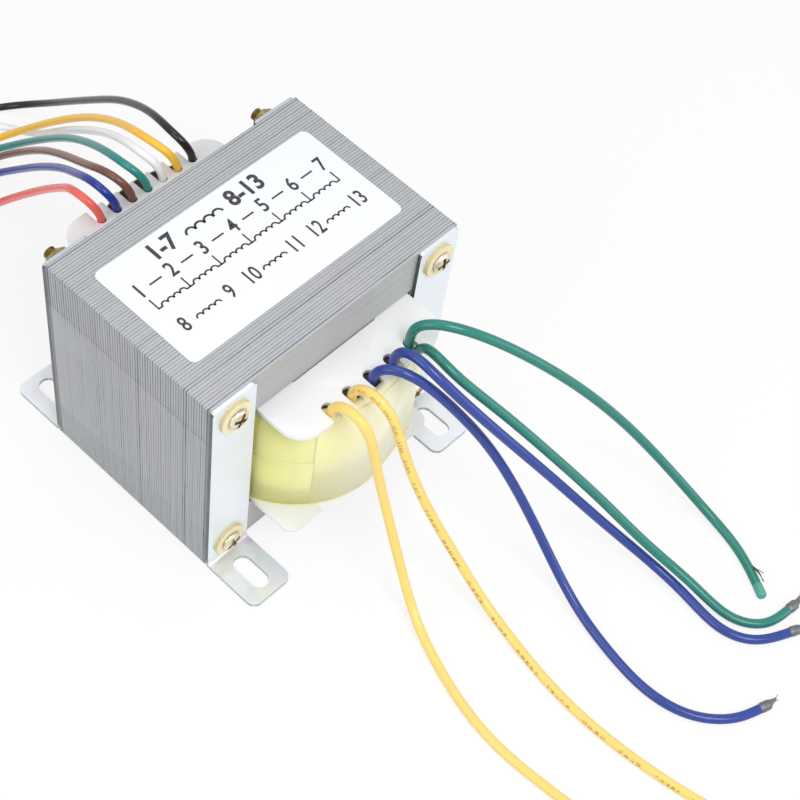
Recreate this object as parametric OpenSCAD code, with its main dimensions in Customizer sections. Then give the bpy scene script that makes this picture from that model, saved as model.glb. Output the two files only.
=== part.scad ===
// Laminated chassis transformer: an interleaved E-I core clamped between four
// slotted feet, with a taped coil on a notched bobbin and colour-coded leads.
// X runs along the stack, Y across the core, Z up from the surface.

/* [Core] */
// Number of sheets in the stack
sheets = 130; // [60:2:160]
// Distance from one sheet to the next
sheet_pitch = 0.5; // [0.35:0.05:0.65]
// Air between neighbouring sheets
sheet_gap = 0.03; // [0.02:0.01:0.05]
// Width of the core across the legs
core_w = 96; // [92:1:104]
// Height of the core
core_h = 80; // [76:1:90]
// Width of the centre leg
centre_leg_w = 32; // [28:1:34]
// Width of each outer leg
outer_leg_w = 16; // [14:0.5:18]
// Height of each yoke and I bar
yoke_h = 16; // [14:0.5:18]
// Gap where an I bar butts against its E
butt_gap = 0.05; // [0.03:0.01:0.1]
// How far an I bar stays back from the edges of its E
bar_inset = 0.1; // [0.05:0.05:0.3]
// Diameter of the clamp holes in the core
core_hole_d = 5; // [4.6:0.1:6]

/* [Feet] */
// Height of the core above the surface that the feet stand on
core_lift = 0.5; // [0.2:0.1:2]
// Thickness of the sheet that the feet are bent from
foot_t = 1.2; // [0.8:0.1:2]
// Width of each foot along the core
foot_w = 16; // [14:0.5:22]
// How far each foot reaches out from the core's face
foot_reach = 21; // [19.5:0.5:30]
// Inner radius of the bend
bend_r = 1; // [0.5:0.25:2.5]
// Radius of the two outer corners of the foot
foot_corner_r = 3; // [1:0.5:4]
// Radius of the two top corners of the upright
upright_corner_r = 1.5; // [0.5:0.5:3]
// How far the upright stays below the core's top
upright_drop = 0.3; // [0:0.1:4]
// Width of the mounting slot
slot_w = 5.8; // [4:0.1:7]
// Overall length of the mounting slot
slot_l = 12.8; // [8:0.1:13.4]
// Distance from the core's face to the slot's centre
slot_offset = 11.5; // [10.5:0.5:12]
// Diameter of the clamp holes in the upright
foot_hole_d = 4.5; // [4.3:0.1:5.5]

/* [Fasteners] */
// Diameter of the clamp bolts
bolt_d = 4; // [3:0.5:4]
// Diameter of the bolt heads
head_d = 6.75; // [6:0.25:8]
// Height of the bolt heads
head_h = 2.4; // [1.8:0.1:3.2]
// Length of the cross recess in the head
recess_l = 4; // [3:0.1:5]
// Width of the cross recess
recess_w = 1; // [0.6:0.1:1.4]
// Depth of the cross recess
recess_depth = 1.2; // [0.8:0.1:1.6]
// How far the bolt passes the core's back face
bolt_tail = 8.2; // [6.5:0.1:12]
// Size of the nuts across the flats
nut_af = 7; // [6.5:0.5:8]
// Thickness of the nuts
nut_h = 3.2; // [2.4:0.1:3.6]
// Clearance between bolt and nut
thread_gap = 0.05; // [0.03:0.01:0.1]
// Outer diameter of the fibre washers
washer_d = 11; // [9:0.5:13]
// Thickness of the fibre washers
washer_t = 1.2; // [0.8:0.1:1.6]

/* [Bobbin] */
// Clearance between the bobbin and the centre leg
leg_gap = 0.25; // [0.2:0.05:0.6]
// Wall of the bobbin's tube
tube_wall = 1.2; // [0.8:0.1:2]
// Thickness of the two flanges
flange_t = 1.4; // [1:0.1:2]
// Clearance between the flanges and the yokes
flange_gap = 0.25; // [0.1:0.05:0.4]
// Gap between the flanges and the outer legs
side_gap = 2; // [0.5:0.25:3]
// How far the front of the flanges stands out from the core
front_overhang = 17; // [16:0.25:18.5]
// How far the rear of the top flange stands out from the core
rear_overhang = 18; // [17:0.25:20]
// Radius of the corners of the top flange
flange_corner_r = 8; // [4:0.5:12]
// Radius of the corners of the bottom flange
ear_corner_r = 4; // [1:0.5:6]
// Width of each ear of the bottom flange
ear_w = 13; // [8:0.5:14]
// Number of lead notches at the front
front_notches = 5; // [1:1:6]
// Spacing of the lead notches at the front
front_notch_pitch = 8.2; // [5:0.1:9]
// Width of the lead notches at the front
front_notch_w = 3.6; // [3.4:0.1:4.4]
// Depth of the front notches, from the flange's edge
front_notch_depth = 6.2; // [4:0.1:8]
// Number of lead notches at the rear
rear_notches = 7; // [1:1:8]
// Spacing of the lead notches at the rear
rear_notch_pitch = 5.95; // [4:0.05:7]
// Width of the lead notches at the rear
rear_notch_w = 2.9; // [2.8:0.1:3.6]
// Depth of the rear notches, from the flange's edge
rear_notch_depth = 6.5; // [4:0.1:8]
// Offset of both rows of notches from the middle
notch_shift = 1; // [0:0.25:2]

/* [Coil] */
// Gap between the finished coil and the outer legs
coil_side_gap = 2.5; // [1.5:0.25:4]
// Radius of the coil's bulge outside the core
bulge_r = 32; // [30:0.5:36]
// How far the bulge stands out from the core's face
bulge_overhang = 19; // [17:0.25:22]
// Radius of the coil's fuller corner, at the front right
shoulder_r = 10; // [8:0.5:12]
// How far the middle of that corner stands out from the core's face
shoulder_out = 5.5; // [4:0.25:7]
// How far the middle of that corner is from the coil's middle
shoulder_side = 18; // [16:0.25:19]
// Thickness of the outer tape
tape_t = 0.4; // [0.2:0.05:0.8]
// Thickness of the insulation between the windings
insulation_t = 0.5; // [0.3:0.1:1]
// Thickness of the outer, heavy winding
secondary_t = 4; // [2:0.25:5]

/* [Label] */
// Length of the label across the core
label_l = 80.4; // [60:0.2:90]
// Width of the label along the stack
label_w = 39; // [25:0.5:50]
// Thickness of the label
label_t = 0.12; // [0.08:0.02:0.3]
// Radius of the label's corners
label_corner_r = 4.5; // [1:0.5:8]
// Offset of the label towards the back
label_shift = 1.5; // [0:0.5:5]

/* [Leads] */
// Diameter of the front leads
front_lead_d = 3; // [2:0.1:3.2]
// Diameter of the rear leads
rear_lead_d = 2.5; // [1.5:0.1:2.6]
// Diameter of the tinned tips
tip_d = 2.5; // [1.5:0.1:3]
// Length of the round part of a tinned tip
tip_l = 4; // [2:0.5:6]
// Length of the pinched end of a tinned tip
pinch_l = 2.5; // [1:0.5:4]

/* [Hidden] */

// Core places
core_d = sheets * sheet_pitch;
sheet_t = sheet_pitch - sheet_gap;
face_x = core_d / 2;
window_y = core_w / 2 - outer_leg_w;
window_bottom = core_lift + yoke_h;
window_top = core_lift + core_h - yoke_h;
core_top = core_lift + core_h;
core_mid_z = core_lift + core_h / 2;
hole_y = (core_w - outer_leg_w) / 2;
hole_z = [core_lift + yoke_h / 2, core_top - yoke_h / 2];

// Bobbin places
leg_y = centre_leg_w / 2;
bore_x = face_x + leg_gap;
bore_y = leg_y + leg_gap;
tube_x = bore_x + tube_wall;
tube_y = bore_y + tube_wall;
flange_y = window_y - side_gap;
flange_low = window_bottom + flange_gap;
flange_high = window_top - flange_gap;
coil_low = flange_low + flange_t;
coil_high = flange_high - flange_t;
front_edge = face_x + front_overhang;
rear_edge = face_x + rear_overhang;

// Coil places
coil_y = window_y - coil_side_gap;
bulge_x = face_x + bulge_overhang - bulge_r;
shoulder_x = face_x + shoulder_out;
// The flat between bulge and corner lies this far inside their common tangent
bridge_inset = 0.04;
shoulder_run = shoulder_x - bulge_x;
shoulder_lean = atan2(shoulder_side, shoulder_run);
shoulder_turn = acos(min(0.99,
    (bulge_r - shoulder_r) / norm([shoulder_run, shoulder_side])));
secondary_in = tape_t + secondary_t;
primary_out = secondary_in + insulation_t;

// Fastener places
upright_x = face_x + foot_t;
washer_x = upright_x + washer_t;
nut_corner_d = nut_af / cos(30);

// Lead places: the routes start at the notches, on top of the coil
front_exit_x = front_edge - 3;
rear_exit_x = rear_edge - 5;
cut = 1;

front_yellow_1 = [
    [46.5, -15.4, 62.85], [46.6, -15.4, 66], [49.8, -15.3, 70.2],
    [55.4, -15, 70.8], [59.8, -14.6, 67.2], [61.4, -14, 61.2], [62.4, -12.8, 53.6],
    [64.6, -11.4, 42], [70, -11, 27.5], [78.5, -12.6, 12.5],
    [90, -17, 2.2], [104, -22.5, 1.5], [119, -27, 1.5], [134, -29, 1.5],
    [148, -28, 1.5], [160, -27, 1.5], [172, -25, 1.5], [184, -22, 1.5]];
front_yellow_2 = [
    [46.5, -7.2, 62.85], [46.6, -7.2, 66], [49.6, -7.1, 70.4],
    [55.2, -6.8, 71.4], [60.2, -6.2, 68], [62.6, -5.4, 62],
    [65.4, -4.6, 54], [69.6, -3.4, 43.5], [76, -1.4, 31], [86, 1, 17.5],
    [99, 2, 4.5], [114, 0, 1.5], [130, -3, 1.5], [146, -4, 1.5],
    [162, -3, 1.5], [176, -1, 1.5], [190, 2, 1.5], [203, 6, 1.5]];
front_blue_1 = [
    [46.5, 1, 62.85], [46.5, 1, 66], [48.6, 2.2, 70], [53.4, 4.4, 71.4],
    [58.2, 7.4, 69], [62.6, 11, 63.6], [69, 15.4, 55.6], [78, 20.4, 44.4],
    [90, 23.8, 28.6], [104, 25, 11], [120, 22, 1.5],
    [137, 18, 1.5], [152, 16, 1.5], [166, 19, 1.5], [176, 28, 1.5],
    [179, 37, 1.5]];
front_blue_2 = [
    [46.5, 9.2, 62.85], [46.5, 9.2, 66], [48.1, 9.6, 71], [53.2, 9.6, 73.7],
    [60.4, 10, 72.2], [68, 12.9, 66], [80, 19.6, 54.4], [94, 30.6, 36.6],
    [109, 41.8, 17.2], [124, 50, 4.2], [139, 51, 1.5], [154, 48, 1.5],
    [165, 53, 1.5], [170, 64, 1.5]];
front_green_1 = [
    [45, 17.4, 62.85], [45, 17.4, 67], [46, 17, 73], [50, 19, 77],
    [57, 24, 77], [67, 34, 70], [81, 50, 53], [95, 65, 32], [110, 75, 13],
    [126, 79, 1.5], [142, 76, 1.5], [156, 68, 1.5]];
front_green_2 = [
    [48.3, 17.4, 62.85], [49, 17.4, 65.6], [51.6, 16.6, 69.6], [57, 15.4, 71.4],
    [65, 16.2, 68], [77, 24, 57], [91, 33, 42], [106, 43, 25], [122, 50, 10],
    [139, 54, 4], [154, 53, 1.5], [164, 60, 1.5], [165, 70, 1.5]];
rear_black = [
    [-45.5, 18.85, 62.85], [-45.5, 18.85, 66], [-47, 17, 71], [-52, 16, 73],
    [-60, 18, 71], [-71, 22, 64], [-86, 26, 53], [-101, 29, 39],
    [-117, 32, 24], [-132, 34, 10], [-145, 31, 1.25], [-152, 19, 1.25],
    [-156, 6, 1.25], [-159, -7, 1.25]];
rear_yellow = [
    [-45.5, 12.9, 62.85], [-45.5, 12.9, 66], [-47, 11, 71], [-52, 9, 73],
    [-61, 10, 70], [-74, 14, 61], [-89, 17, 49], [-105, 19, 34],
    [-119, 19, 20], [-131, 17, 8], [-139, 10, 1.5], [-144, -1, 1.25],
    [-148, -13, 1.25], [-150, -25, 1.25]];
rear_white = [
    [-45.5, 6.95, 62.85], [-45.5, 6.95, 66], [-47, 5.4, 71], [-51.8, 3.6, 73],
    [-59.8, 5, 70], [-72, 9, 61], [-88, 13.4, 46.4], [-104, 17.6, 30.6],
    [-119, 22, 14], [-132, 24, 1.8], [-142, 20, 1.25], [-149, 10, 1.25],
    [-153, -2, 1.25]];
rear_green = [
    [-45.5, 1, 62.85], [-45.5, 1, 66], [-47, -1, 71], [-52, -3, 73],
    [-61, -1, 69], [-75, 3, 59], [-90, 7, 46], [-106, 10, 30],
    [-121, 11, 15], [-134, 8, 3], [-140, -2, 1.25], [-144, -14, 1.25],
    [-146, -26, 1.25]];
rear_brown = [
    [-45.5, -4.95, 62.85], [-45.5, -5, 66], [-46.6, -6.6, 70.6],
    [-51, -8.4, 72.8], [-56.5, -8.6, 71], [-64, -6.8, 65], [-76, -3.4, 56],
    [-90, 0, 45], [-106, 4, 29],
    [-121, 5, 14], [-132, 2, 3], [-137, -9, 1.25], [-140, -21, 1.25],
    [-142, -33, 1.25]];
rear_blue = [
    [-45.5, -10.9, 62.85], [-45.5, -11, 66], [-46.6, -12.6, 70.4],
    [-51, -13.8, 72.6], [-56.5, -13.2, 70.6], [-63.4, -11, 64.6],
    [-74, -7.6, 56], [-88, -5, 43], [-103, -2, 27],
    [-118, -1, 12], [-129, -6, 2], [-134, -17, 1.25], [-137, -29, 1.25],
    [-139, -41, 1.25]];
rear_red = [
    [-45.5, -16.85, 62.85], [-45.5, -17, 66], [-46.9, -18.6, 70.4],
    [-51.2, -19.8, 72.4], [-56.8, -19, 70], [-62.4, -17, 63.6],
    [-71.6, -14.8, 54], [-85, -13, 39],
    [-100, -12, 22], [-113, -15, 7], [-123, -25, 1.25], [-128, -37, 1.25],
    [-131, -50, 1.25]];

steel = [0.62, 0.64, 0.67];
zinc = [0.84, 0.87, 0.9];
brass = [0.78, 0.66, 0.38];
fibre = [0.87, 0.79, 0.6];
milky = [0.95, 0.95, 0.94];
pale_tape = [0.92, 0.92, 0.62];
copper = [0.6, 0.3, 0.18];
tinned = [0.5, 0.5, 0.52];

// ---- Core ----

// One E sheet, standing in the Y-Z plane with its yoke at the bottom
module e_sheet() {
    leg_top = core_h - yoke_h;
    difference() {
        polygon([
            [-core_w / 2, 0], [core_w / 2, 0], [core_w / 2, leg_top],
            [window_y, leg_top], [window_y, yoke_h], [leg_y, yoke_h],
            [leg_y, leg_top], [-leg_y, leg_top], [-leg_y, yoke_h],
            [-window_y, yoke_h], [-window_y, leg_top], [-core_w / 2, leg_top]]);
        for (side = [-1, 1])
            translate([side * hole_y, yoke_h / 2])
                circle(d = core_hole_d, $fn = 48);
    }
}

// One I bar, lying on the legs of an upright E sheet
module i_bar() {
    low = core_h - yoke_h + butt_gap;
    difference() {
        translate([-core_w / 2 + bar_inset, low])
            square([core_w - 2 * bar_inset, yoke_h - butt_gap - bar_inset]);
        for (side = [-1, 1])
            translate([side * hole_y, core_h - yoke_h / 2])
                circle(d = core_hole_d, $fn = 48);
    }
}

// Stacks a flat shape from back to front, every second one upside down
module interleave() {
    for (i = [0 : sheets - 1])
        translate([-face_x + i * sheet_pitch + sheet_gap / 2, 0, core_mid_z])
            rotate([90, 0, 90])
                mirror([0, i % 2, 0])
                    translate([0, -core_h / 2, 0])
                        linear_extrude(height = sheet_t) children();
}

module e_laminations() {
    color(steel) interleave() e_sheet();
}

module i_laminations() {
    color(steel * 0.94) interleave() i_bar();
}

// ---- Bobbin ----

// A flat outline with one corner radius, from x0 to x1 and y0 to y1
module rounded(x0, x1, y0, y1, r) {
    translate([x0 + r, y0]) square([x1 - x0 - 2 * r, y1 - y0]);
    translate([x0, y0 + r]) square([x1 - x0, y1 - y0 - 2 * r]);
    for (x = [x0 + r, x1 - r], y = [y0 + r, y1 - r])
        translate([x, y]) circle(r = r, $fn = 64);
}

// A notch that a lead leaves by, open at the flange's edge, towards +X
module notch(edge, depth, w) {
    translate([edge - depth + w / 2, 0]) circle(d = w, $fn = 32);
    translate([edge - depth + w / 2, -w / 2]) square([depth + cut, w]);
}

// A row of notches along Y
module notch_row(count, pitch, edge, depth, w) {
    for (i = [0 : count - 1])
        translate([0, notch_shift + (i - (count - 1) / 2) * pitch])
            notch(edge, depth, w);
}

module top_flange() {
    difference() {
        rounded(-rear_edge, front_edge, -flange_y, flange_y, flange_corner_r);
        notch_row(front_notches, front_notch_pitch, front_edge,
                  front_notch_depth, front_notch_w);
        mirror([1, 0, 0])
            notch_row(rear_notches, rear_notch_pitch, rear_edge,
                      rear_notch_depth, rear_notch_w);
    }
}

// The bottom flange is cut back between its four ears, behind the coil
module bottom_flange() {
    gap_y = flange_y - ear_w;
    difference() {
        rounded(-front_edge, front_edge, -flange_y, flange_y, ear_corner_r);
        for (side = [-1, 1])
            translate([side > 0 ? tube_x + 2 : -front_edge - cut, -gap_y])
                square([front_edge - tube_x - 2 + cut, 2 * gap_y]);
    }
}

module bobbin() {
    color(milky) difference() {
        union() {
            translate([0, 0, flange_low])
                linear_extrude(height = flange_t) bottom_flange();
            translate([-tube_x, -tube_y, flange_low])
                cube([2 * tube_x, 2 * tube_y, flange_high - flange_low]);
            translate([0, 0, flange_high - flange_t])
                linear_extrude(height = flange_t) top_flange();
        }
        translate([-bore_x, -bore_y, flange_low - cut])
            cube([2 * bore_x, 2 * bore_y, flange_high - flange_low + 2 * cut]);
    }
}

// ---- Coil ----

// The coil's outline, a depth below its outer face: flat in the windows and
// bulging round where it leaves them, fuller over the joints of the front leads
module coil_outline(depth) {
    intersection() {
        translate([-face_x - bulge_overhang, -coil_y + depth])
            square([2 * (face_x + bulge_overhang), 2 * (coil_y - depth)]);
        union() {
            for (side = [-1, 1])
                translate([side * bulge_x, 0]) circle(r = bulge_r - depth, $fn = 128);
            translate([shoulder_x, shoulder_side])
                circle(r = shoulder_r - depth, $fn = 128);
            polygon([for (end = [0, 1], turn = [2 * end - 1, 1 - 2 * end])
                let (a = shoulder_lean - turn * shoulder_turn,
                     r = (end == 0 ? bulge_r : shoulder_r) - depth - bridge_inset)
                    (end == 0 ? [bulge_x, 0] : [shoulder_x, shoulder_side])
                    + r * [cos(a), sin(a)]]);
            translate([-bulge_x, -bulge_r + depth])
                square([2 * bulge_x, 2 * (bulge_r - depth)]);
        }
    }
}

// One layer of the coil, between two depths
module coil_layer(outer, inner) {
    translate([0, 0, coil_low])
        linear_extrude(height = coil_high - coil_low) difference() {
            coil_outline(outer);
            coil_outline(inner);
        }
}

module coil_tape() {
    color(pale_tape) coil_layer(0, tape_t);
}

module secondary_winding() {
    color(copper) coil_layer(tape_t, secondary_in);
}

module winding_insulation() {
    color(pale_tape) coil_layer(secondary_in, primary_out);
}

module primary_winding() {
    color(copper) translate([0, 0, coil_low])
        linear_extrude(height = coil_high - coil_low) difference() {
            coil_outline(primary_out);
            square([2 * tube_x, 2 * tube_y], center = true);
        }
}

// ---- Feet ----

// Side view of a foot: upright, bend and sole, with the core's face at x = 0
module foot_profile() {
    outer_r = bend_r + foot_t;
    translate([0, outer_r]) square([foot_t, core_top - upright_drop - outer_r]);
    translate([outer_r, 0]) square([foot_reach - outer_r, foot_t]);
    intersection() {
        difference() {
            translate([outer_r, outer_r]) circle(r = outer_r, $fn = 48);
            translate([outer_r, outer_r]) circle(r = bend_r, $fn = 48);
        }
        square(outer_r);
    }
}

// What is left of a corner of side r when its round of radius r is taken away
module corner_waste(r) {
    difference() {
        square([r + cut, r + cut]);
        circle(r = r, $fn = 48);
    }
}

// The foot at the front and on the +Y side
module foot() {
    outer_y = core_w / 2;
    inner_y = outer_y - foot_w;
    top = core_top - upright_drop;
    color(zinc) difference() {
        translate([face_x, outer_y, 0])
            rotate([90, 0, 0])
                linear_extrude(height = foot_w) foot_profile();
        // The slot, along X
        translate([face_x + slot_offset, hole_y, -cut])
            linear_extrude(height = foot_t + 2 * cut) {
                square([slot_l - slot_w, slot_w], center = true);
                for (end = [-1, 1])
                    translate([end * (slot_l - slot_w) / 2, 0])
                        circle(d = slot_w, $fn = 48);
            }
        // The clamp holes
        for (z = hole_z)
            translate([face_x - cut, hole_y, z])
                rotate([0, 90, 0])
                    cylinder(d = foot_hole_d, h = foot_t + 2 * cut, $fn = 48);
        // The rounded corners of the sole and of the upright
        for (side = [-1, 1]) {
            sole_y = side > 0 ? outer_y : inner_y;
            translate([face_x + foot_reach - foot_corner_r,
                       sole_y - side * foot_corner_r, -cut])
                mirror([0, side > 0 ? 0 : 1, 0])
                    linear_extrude(height = foot_t + 2 * cut)
                        corner_waste(foot_corner_r);
            translate([face_x - cut, sole_y - side * upright_corner_r,
                       top - upright_corner_r])
                mirror([0, side > 0 ? 0 : 1, 0])
                    rotate([90, 0, 90])
                        linear_extrude(height = foot_t + 2 * cut)
                            corner_waste(upright_corner_r);
        }
    }
}

module front_right_foot() {
    foot();
}

module front_left_foot() {
    mirror([0, 1, 0]) foot();
}

module rear_right_foot() {
    mirror([1, 0, 0]) foot();
}

module rear_left_foot() {
    mirror([1, 0, 0]) mirror([0, 1, 0]) foot();
}

// ---- Fasteners ----

// Places a piece at each of the four clamp holes, with its axis along +X
module at_clamp_holes(x) {
    for (side = [-1, 1], z = hole_z)
        translate([x, side * hole_y, z]) rotate([0, 90, 0]) children();
}

// One bolt: a domed head with a cross recess, on a plain shank
module bolt() {
    rim = head_h * 0.4;
    dome_r = (head_d * head_d / 4 + (head_h - rim) * (head_h - rim)) / (2 * (head_h - rim));
    shank_l = washer_x + face_x + bolt_tail;
    difference() {
        union() {
            cylinder(d = head_d, h = rim, $fn = 48);
            intersection() {
                translate([0, 0, head_h - dome_r]) sphere(r = dome_r, $fn = 64);
                translate([0, 0, rim / 2]) cylinder(d = head_d, h = head_h, $fn = 48);
            }
            translate([0, 0, -shank_l]) cylinder(d = bolt_d, h = shank_l + rim / 2, $fn = 48);
        }
        for (turn = [0, 90])
            rotate([0, 0, turn + 20])
                translate([-recess_l / 2, -recess_w / 2, head_h - recess_depth])
                    cube([recess_l, recess_w, recess_depth + cut]);
    }
}

module clamp_bolts() {
    color(brass) at_clamp_holes(washer_x) bolt();
}

// A flat ring with its bore
module ring(d, bore, h, sides = 64) {
    difference() {
        cylinder(d = d, h = h, $fn = sides);
        translate([0, 0, -cut]) cylinder(d = bore, h = h + 2 * cut, $fn = 48);
    }
}

module fibre_washers() {
    color(fibre) {
        at_clamp_holes(upright_x) ring(washer_d, foot_hole_d, washer_t);
        at_clamp_holes(-washer_x) ring(washer_d, foot_hole_d, washer_t);
    }
}

module clamp_nuts() {
    color(brass) at_clamp_holes(-washer_x - nut_h)
        ring(nut_corner_d, bolt_d + 2 * thread_gap, nut_h, 6);
}

// ---- Label ----

module rating_label() {
    x_mid = -label_shift;
    color("white") translate([0, 0, core_top])
        linear_extrude(height = label_t)
            rounded(x_mid - label_w / 2, x_mid + label_w / 2,
                    -label_l / 2, label_l / 2, label_corner_r);
}

// ---- Leads ----

// A smooth curve through the first and last of the points, led by the others
function blend(a, b, c, d, t) =
    ((1 - t) * (1 - t) * (1 - t) * a + (3 * t * t * t - 6 * t * t + 4) * b
     + (3 * t * t - 3 * t * t * t + 3 * t + 1) * c + t * t * t * d) / 6;
function led(p) = let (n = len(p) - 1)
    concat([2 * p[0] - p[1]], p, [2 * p[n] - p[n - 1]]);
// Rings of the curve, a number of steps to each of its points
function curve(p, steps) = let (q = led(p), n = len(p) - 1) [
    for (i = [0 : n - 1], k = [0 : steps - 1])
        blend(q[i], q[i + 1], q[i + 2], q[i + 3], k / steps),
    p[n]];
function unit(v) = v / norm(v);
// A direction across the run v, level where the run allows it
function across(v) = unit(cross(v, abs(v[2]) > 0.9 * norm(v) ? [0, 1, 0] : [0, 0, 1]));
function heading(c, i) = unit(c[min(i + 1, len(c) - 1)] - c[max(i - 1, 0)]);
// The side of each ring, carried along so that the tube never twists
function sides(c, i = 0, last = undef) = i == len(c) ? [] :
    let (h = heading(c, i),
         s = is_undef(last) ? across(h) : unit(last - (last * h) * h))
    concat([s], sides(c, i + 1, s));

// A round tube of 8 sides along a curve, with its diameter at each ring
module tube(c, d) {
    n = 8;
    s = sides(c);
    last = len(c) - 1;
    points = [for (i = [0 : last], k = [0 : n - 1])
        let (a = 360 * (k + 0.5) / n, w = cross(heading(c, i), s[i]),
             r = (is_list(d) ? d[i] : d) / 2)
        c[i] + r * (cos(a) * s[i] + sin(a) * w)];
    walls = [for (i = [0 : last - 1], k = [0 : n - 1])
        let (m = (k + 1) % n)
        [i * n + k, (i + 1) * n + k, (i + 1) * n + m, i * n + m]];
    polyhedron(points, concat(walls, [[for (k = [0 : n - 1]) k]],
               [[for (k = [n - 1 : -1 : 0]) last * n + k]]), convexity = 4);
}

module lead(route, d) {
    tube(curve(route, 2), d);
}

// A tinned tip, from the cut end of a lead straight on
module tinned_tip(route) {
    path = curve(route, 2);
    start = path[len(path) - 1];
    way = heading(path, len(path) - 1);
    color(tinned) tube([start, start + tip_l * way, start + (tip_l + pinch_l) * way],
                       [tip_d, tip_d, tip_d / 3]);
}

module front_yellow_lead_1() { color("gold") lead(front_yellow_1, front_lead_d); }
module front_yellow_lead_2() { color("gold") lead(front_yellow_2, front_lead_d); }
module front_blue_lead_1() { color("navy") lead(front_blue_1, front_lead_d); }
module front_blue_lead_2() { color("navy") lead(front_blue_2, front_lead_d); }
module front_green_lead_1() { color("teal") lead(front_green_1, front_lead_d); }
module front_green_lead_2() { color("teal") lead(front_green_2, front_lead_d); }
module blue_1_tinned_tip() { tinned_tip(front_blue_1); }
module blue_2_tinned_tip() { tinned_tip(front_blue_2); }
module green_2_tinned_tip() { tinned_tip(front_green_2); }
module rear_red_lead() { color("salmon") lead(rear_red, rear_lead_d); }
module rear_blue_lead() { color("royalblue") lead(rear_blue, rear_lead_d); }
module rear_brown_lead() { color("saddlebrown") lead(rear_brown, rear_lead_d); }
module rear_green_lead() { color("seagreen") lead(rear_green, rear_lead_d); }
module rear_white_lead() { color("white") lead(rear_white, rear_lead_d); }
module rear_yellow_lead() { color("orange") lead(rear_yellow, rear_lead_d); }
module rear_black_lead() { color([0.1, 0.1, 0.1]) lead(rear_black, rear_lead_d); }

e_laminations();
i_laminations();
bobbin();
primary_winding();
winding_insulation();
secondary_winding();
coil_tape();
front_left_foot();
front_right_foot();
rear_left_foot();
rear_right_foot();
clamp_bolts();
fibre_washers();
clamp_nuts();
rating_label();
front_yellow_lead_1();
front_yellow_lead_2();
front_blue_lead_1();
front_blue_lead_2();
front_green_lead_1();
front_green_lead_2();
blue_1_tinned_tip();
blue_2_tinned_tip();
green_2_tinned_tip();
rear_red_lead();
rear_blue_lead();
rear_brown_lead();
rear_green_lead();
rear_white_lead();
rear_yellow_lead();
rear_black_lead();
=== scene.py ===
import math

import bmesh
import bpy
from mathutils import Matrix, Vector


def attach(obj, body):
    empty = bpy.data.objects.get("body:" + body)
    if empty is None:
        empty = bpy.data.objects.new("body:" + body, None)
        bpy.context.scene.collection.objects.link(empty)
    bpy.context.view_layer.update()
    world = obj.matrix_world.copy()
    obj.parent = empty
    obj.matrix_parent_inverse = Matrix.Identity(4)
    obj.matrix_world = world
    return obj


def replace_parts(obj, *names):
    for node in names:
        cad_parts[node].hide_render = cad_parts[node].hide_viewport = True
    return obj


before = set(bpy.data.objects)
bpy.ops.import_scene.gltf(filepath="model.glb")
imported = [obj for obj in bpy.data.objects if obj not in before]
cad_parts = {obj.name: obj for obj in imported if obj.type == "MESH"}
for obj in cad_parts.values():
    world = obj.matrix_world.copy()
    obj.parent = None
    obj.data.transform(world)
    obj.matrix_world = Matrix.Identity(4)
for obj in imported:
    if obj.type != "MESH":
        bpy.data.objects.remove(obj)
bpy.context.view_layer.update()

MM = 0.001


# ---- Sizes, in millimetres ----

def extent(node):
    """The lowest and highest corner of a CAD part."""
    places = [v.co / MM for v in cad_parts[node].data.vertices]
    return [Vector([round(pick(p[axis] for p in places), 2) for axis in range(3)]) for pick in (min, max)]


CORE_LOW, CORE_HIGH = extent("e_laminations")
# The stack is a whole number of sheets, with the outermost a hair short of its pitch
SHEET = 0.5
HALF_STACK = SHEET * round(CORE_HIGH.x / SHEET)
# The outer limbs and the yokes are as wide as a sixth of the core's length
LIMB = (CORE_HIGH.y - CORE_LOW.y) / 6
JOINT_LOW, JOINT_HIGH = CORE_LOW.z + LIMB, CORE_HIGH.z - LIMB
HEAD_SEAT = extent("fibre_washers")[1].x
BOLT_Y = CORE_HIGH.y - LIMB / 2
BOLT_LOW, BOLT_HIGH = CORE_LOW.z + LIMB / 2, CORE_HIGH.z - LIMB / 2
# Across a heavy and a thin lead, over the insulation
FRONT_LEAD, REAR_LEAD = 3.0, 2.5

# The tape's path: a wide bow at each end of the coil, and a fuller shoulder at the front
COIL_LOW, COIL_HIGH = (corner.z for corner in extent("coil_tape"))
COIL_Y = extent("coil_tape")[1].y
BULGE_R, BULGE_X = 32.0, 19.5
SHOULDER_R, SHOULDER_X, SHOULDER_Y = 10.0, 38.0, 18.0
SHOULDER_END_X = 33.5
# Where the lower wrap laps the upper one, and a fine ridge above it
LAP_Z, RIDGE_Z = 40.0, 42.9

# The label's film is a little larger than its CAD part, with tighter corners
LABEL_W, LABEL_L, LABEL_CORNER, LABEL_THICK = 40.4, 81.4, 2.2, 0.12
LABEL_TOP = extent("rating_label")[1].z
LABEL_MID = (extent("rating_label")[0].x + extent("rating_label")[1].x) / 2
PRINT_Z = LABEL_TOP + 0.02


# ---- Camera ----

def set_camera():
    """Looks down on the front left corner, with a small shift."""
    data = bpy.data.cameras.new("camera")
    data.lens, data.sensor_width = 78.2, 36
    data.shift_x, data.shift_y = 0.04, 0.12
    data.clip_start, data.clip_end = 0.01, 20
    camera = bpy.data.objects.new("camera", data)
    camera.location = (0.21388, -0.22885, 0.45447)
    camera.rotation_euler = [math.radians(a) for a in (31.81, -5.488, 43.902)]
    bpy.context.scene.collection.objects.link(camera)
    bpy.context.scene.camera = camera


# ---- Building blocks of materials ----

def put(tree, value, socket):
    """Links a socket to an input, or sets a plain value there."""
    if isinstance(value, bpy.types.NodeSocket):
        tree.links.new(value, socket)
    else:
        socket.default_value = value


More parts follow.
